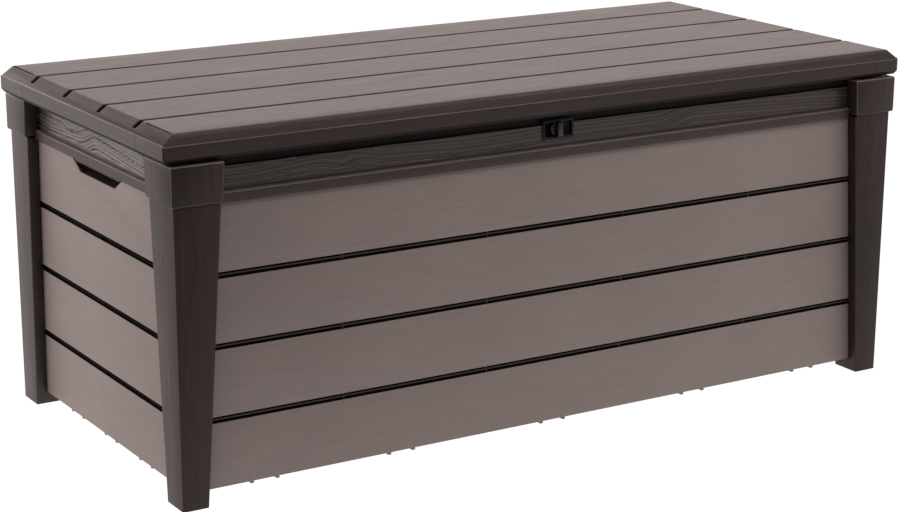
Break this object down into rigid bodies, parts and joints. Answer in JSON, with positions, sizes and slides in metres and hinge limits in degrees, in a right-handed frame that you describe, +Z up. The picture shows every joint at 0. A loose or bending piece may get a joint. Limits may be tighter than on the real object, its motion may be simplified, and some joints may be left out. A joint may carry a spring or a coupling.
{
  "type": "deck storage box",
  "caption": "Outdoor storage box of wood-grain resin with tapered legs, a hinged planked lid on gas struts, hand slots and a turning latch.",
  "frame": {"origin": "on the ground, under the middle of the bounding box with the lid closed", "axes": "+X along the box's length to the right seen from the front, +Y from the latch side to the hinge side, +Z up"},
  "size_m": [1.456, 0.697, 0.605],
  "materials": {
    "resin_dark": "dark espresso resin with a moulded wood grain",
    "resin_taupe": "taupe resin with a faint moulded wood grain",
    "resin_black": "black, satin",
    "zinc_steel": "bright zinc",
    "black_steel": "black powder coat"
  },
  "bodies": {
    "box": {"floor_panel": "resin_taupe", "front_panel": "resin_taupe", "rear_panel": "resin_taupe", "left_panel": "resin_taupe", "right_panel": "resin_taupe", "front_rail": "resin_dark", "rear_rail": "resin_dark", "left_rail": "resin_dark", "right_rail": "resin_dark", "leg_front_left": "resin_dark", "leg_front_right": "resin_dark", "leg_rear_left": "resin_dark", "leg_rear_right": "resin_dark", "leg_cap_front_left": "resin_dark", "leg_cap_front_right": "resin_dark", "leg_cap_rear_left": "resin_dark", "leg_cap_rear_right": "resin_dark", "hand_grip_left": "resin_dark", "hand_grip_right": "resin_dark", "hinge_bracket_left": "black_steel", "hinge_bracket_centre": "black_steel", "hinge_bracket_right": "black_steel", "hinge_pin_left": "zinc_steel", "hinge_pin_centre": "zinc_steel", "hinge_pin_right": "zinc_steel", "bracket_screw_left_1": "zinc_steel", "bracket_screw_left_2": "zinc_steel", "bracket_screw_centre_1": "zinc_steel", "bracket_screw_centre_2": "zinc_steel", "bracket_screw_right_1": "zinc_steel", "bracket_screw_right_2": "zinc_steel", "strut_wall_bracket_left": "zinc_steel", "strut_wall_bracket_right": "zinc_steel", "latch_housing": "resin_black"},
    "lid": {"lid_shell": "resin_dark", "lid_stiffener_front": "zinc_steel", "lid_stiffener_rear": "zinc_steel", "lid_keeper": "zinc_steel", "hinge_leaf_left": "black_steel", "hinge_leaf_centre": "black_steel", "hinge_leaf_right": "black_steel", "leaf_screw_left_1": "zinc_steel", "leaf_screw_left_2": "zinc_steel", "leaf_screw_centre_1": "zinc_steel", "leaf_screw_centre_2": "zinc_steel", "leaf_screw_right_1": "zinc_steel", "leaf_screw_right_2": "zinc_steel", "strut_lid_bracket_left": "zinc_steel", "strut_lid_bracket_right": "zinc_steel"},
    "cylinder_left": {"strut_cylinder_left": "black_steel"},
    "cylinder_right": {"strut_cylinder_right": "black_steel"},
    "rod_left": {"strut_rod_left": "zinc_steel"},
    "rod_right": {"strut_rod_right": "zinc_steel"},
    "latch": {"latch_knob": "resin_black", "latch_cam": "zinc_steel", "latch_screw": "zinc_steel"}
  },
  "joints": [
    {"name": "lid_hinge", "type": "hinge", "parent": "box", "child": "lid", "pos_m": [0, 0.34, 0.5535], "axis": [-1, 0, 0], "range_deg": [0, 80]},
    {"name": "strut_foot_left", "type": "hinge", "parent": "box", "child": "cylinder_left", "pos_m": [-0.652, 0.25792, 0.32797], "axis": [-1, 0, 0], "range_deg": [0, 40]},
    {"name": "strut_foot_right", "type": "hinge", "parent": "box", "child": "cylinder_right", "pos_m": [0.652, 0.25792, 0.32797], "axis": [-1, 0, 0], "range_deg": [0, 40]},
    {"name": "strut_head_left", "type": "hinge", "parent": "lid", "child": "rod_left", "pos_m": [-0.652, 0.10058, 0.53676], "axis": [-1, 0, 0], "range_deg": [-40, 0]},
    {"name": "strut_head_right", "type": "hinge", "parent": "lid", "child": "rod_right", "pos_m": [0.652, 0.10058, 0.53676], "axis": [-1, 0, 0], "range_deg": [-40, 0]},
    {"name": "latch_turn", "type": "hinge", "parent": "box", "child": "latch", "pos_m": [0, -0.3215, 0.5335], "axis": [0, 1, 0], "range_deg": [0, 90]}
  ],
  "couplings": [
    {"joint": "strut_foot_left", "follows": "lid_hinge", "ratio": 0.5},
    {"joint": "strut_foot_right", "follows": "lid_hinge", "ratio": 0.5},
    {"joint": "strut_head_left", "follows": "lid_hinge", "ratio": -0.5},
    {"joint": "strut_head_right", "follows": "lid_hinge", "ratio": -0.5}
  ]
}
